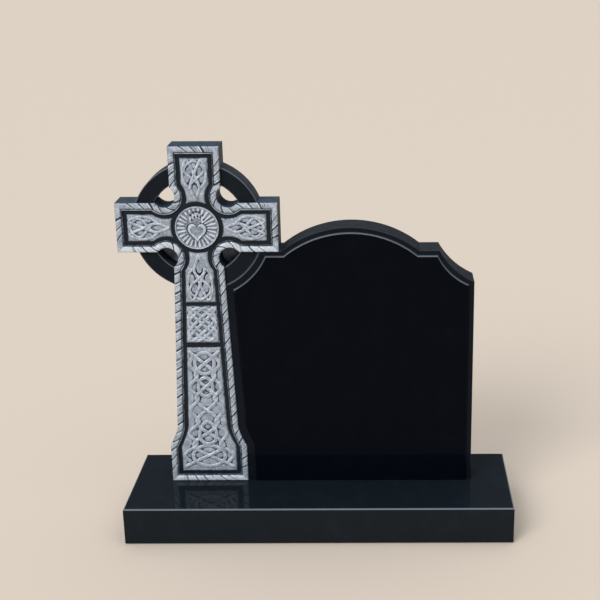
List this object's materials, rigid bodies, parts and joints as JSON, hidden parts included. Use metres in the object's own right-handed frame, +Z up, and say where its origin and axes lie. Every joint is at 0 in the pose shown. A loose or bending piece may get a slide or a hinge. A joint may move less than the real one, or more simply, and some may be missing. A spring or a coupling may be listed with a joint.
{
  "type": "celtic cross headstone",
  "caption": "Dark granite headstone: a ringed high cross with carved rope border and knotwork beside a low arched wing slab, on a plain rectangular base.",
  "frame": {"origin": "on the ground, under the middle of the base's underside", "axes": "+Z up, +X to the right along the base, +Y from the carved front to the back"},
  "size_m": [1.005, 0.325, 1.008],
  "materials": {
    "base_granite": "polished black granite",
    "headstone_granite": "polished black granite, its carved border and panels left light grey from the chisel"
  },
  "bodies": {
    "root": {"base": "base_granite", "headstone": "headstone_granite"}
  },
  "joints": []
}
